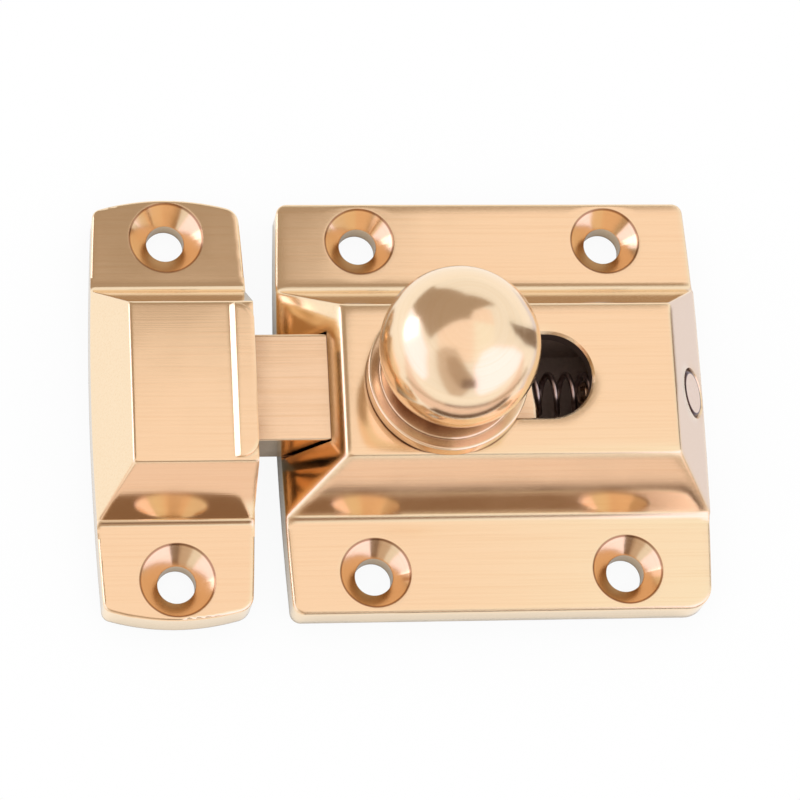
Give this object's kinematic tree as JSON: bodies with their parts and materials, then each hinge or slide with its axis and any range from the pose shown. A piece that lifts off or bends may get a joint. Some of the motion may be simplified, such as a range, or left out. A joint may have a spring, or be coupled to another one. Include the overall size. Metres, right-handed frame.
{
  "type": "cabinet latch",
  "caption": "Surface-mounted cupboard latch: a hooded brass case with a sprung sliding bolt under a ball knob, and a hooded keeper that receives the bolt.",
  "frame": {"origin": "middle of the case's flat back, on the bolt's line", "axes": "+X along the bolt, from the keeper to the case's closed end; +Y along the door's edge; +Z out of the door, towards the knob"},
  "size_m": [0.0733, 0.052, 0.0347],
  "materials": {
    "cast_brass": "cast brass, machine polished",
    "drawn_brass": "drawn brass bar, linished",
    "turned_brass": "turned brass, buffed",
    "sheet_brass": "sheet brass, as rolled",
    "spring_steel": "drawn spring wire, oiled"
  },
  "bodies": {
    "latch_case": {"case": "cast_brass", "keeper": "cast_brass", "back_plate": "sheet_brass", "spring": "spring_steel", "spring_plug": "drawn_brass", "back_plate_screw_1": "sheet_brass", "back_plate_screw_2": "sheet_brass", "back_plate_screw_3": "sheet_brass", "back_plate_screw_4": "sheet_brass"},
    "sliding_bolt": {"bolt": "drawn_brass", "knob": "turned_brass"}
  },
  "joints": [
    {"name": "bolt_slide", "type": "slide", "parent": "latch_case", "child": "sliding_bolt", "axis": [1, 0, 0], "range_m": [0, 0.0122], "stiffness_N_per_m": 1460, "springref_m": -0.004, "deforming": ["spring"]}
  ]
}
